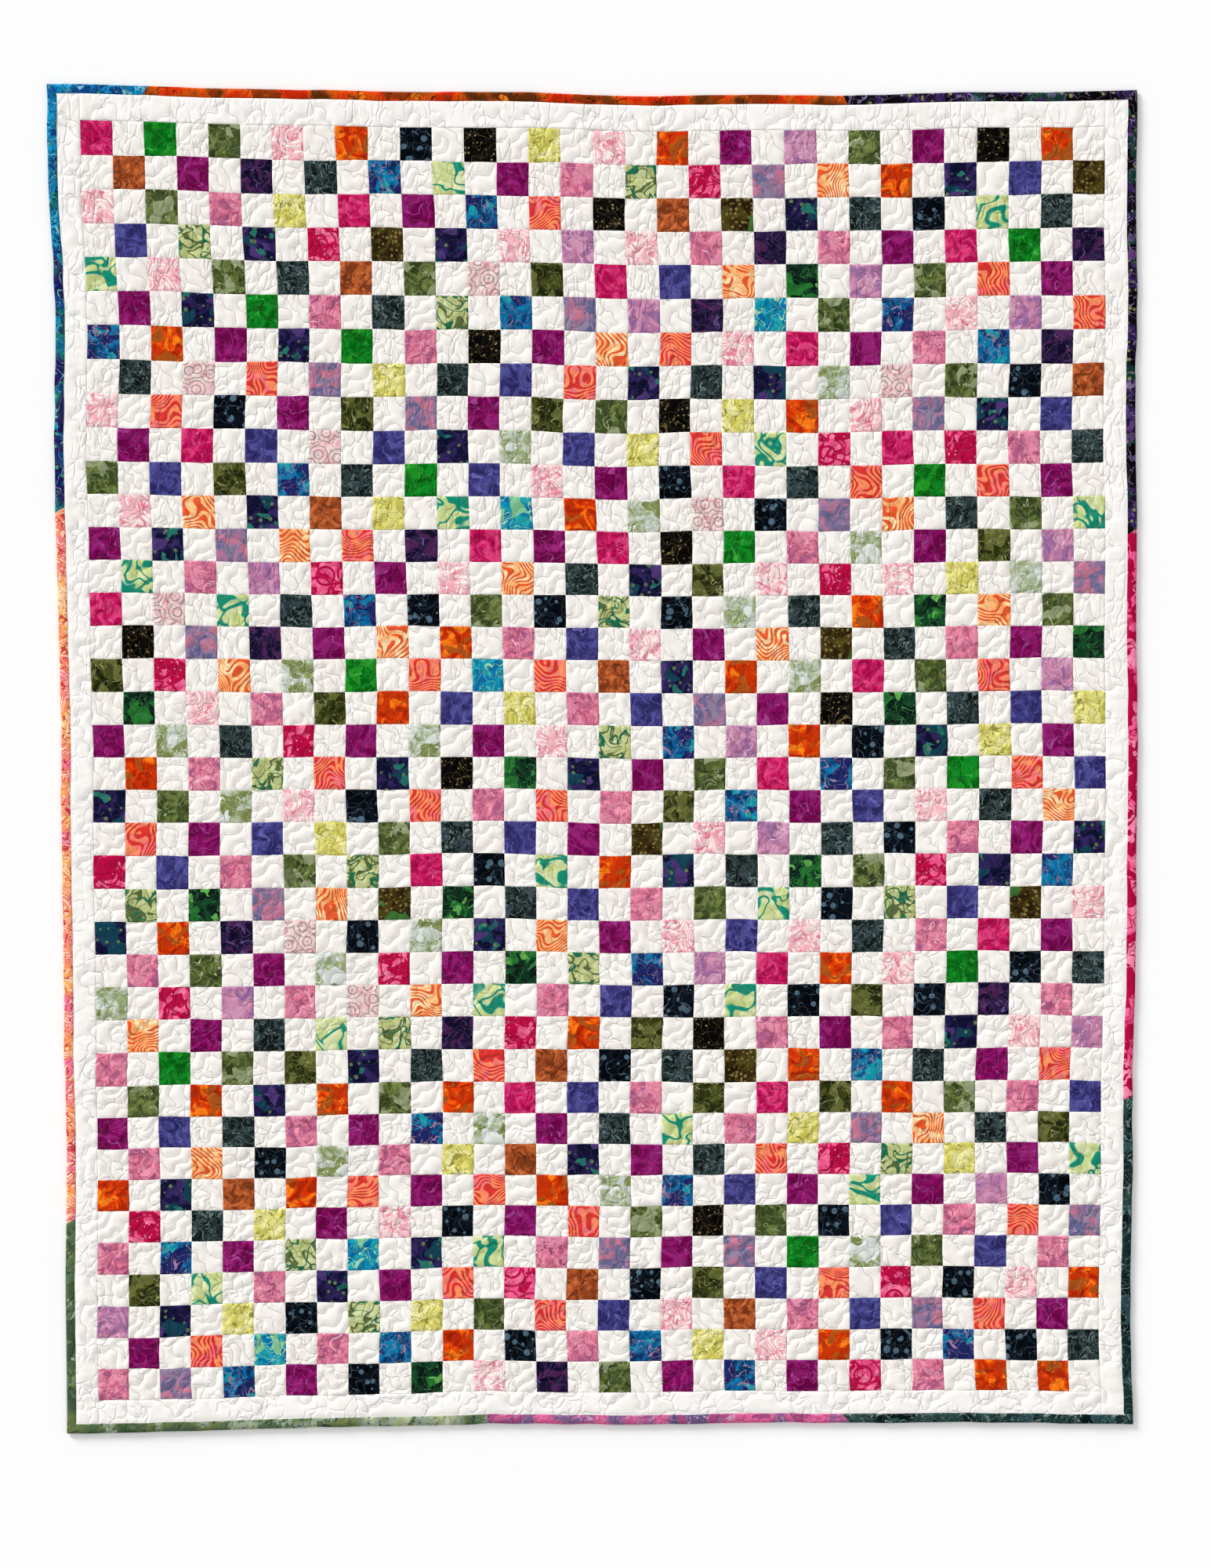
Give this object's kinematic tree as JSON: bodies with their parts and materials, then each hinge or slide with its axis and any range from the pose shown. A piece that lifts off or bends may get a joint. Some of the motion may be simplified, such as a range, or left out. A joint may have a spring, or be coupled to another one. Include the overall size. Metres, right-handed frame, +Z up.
{
  "type": "patchwork quilt",
  "caption": "Throw-size patchwork quilt laid flat, face up: white and batik squares in a checkerboard, white borders, slant-joined batik binding, meander quilting.",
  "frame": {"origin": "under the middle of the quilt, on the surface that it lies on", "axes": "+Z up out of the quilt's face, +Y towards its top edge, +X towards its right edge"},
  "size_m": [1.2975, 1.6056, 0.0086],
  "materials": {
    "patchwork_cotton": "quilted cotton, white and batik squares",
    "white_cotton": "plain quilting cotton, matte",
    "binding_blue_batik": "batik cotton, matte",
    "binding_orange_batik": "batik cotton, matte",
    "binding_purple_batik": "batik cotton, matte",
    "binding_pink_batik": "batik cotton, matte",
    "binding_dark_green_batik": "batik cotton, matte",
    "binding_mauve_batik": "batik cotton, matte",
    "binding_moss_batik": "batik cotton, matte",
    "binding_peach_batik": "batik cotton, matte"
  },
  "bodies": {
    "root": {"patchwork": "patchwork_cotton", "border_left": "white_cotton", "border_right": "white_cotton", "border_top": "white_cotton", "border_bottom": "white_cotton", "binding_top_left": "binding_blue_batik", "binding_top": "binding_orange_batik", "binding_top_right": "binding_purple_batik", "binding_right": "binding_pink_batik", "binding_bottom_right": "binding_dark_green_batik", "binding_bottom": "binding_mauve_batik", "binding_bottom_left": "binding_moss_batik", "binding_left": "binding_peach_batik"}
  },
  "joints": []
}
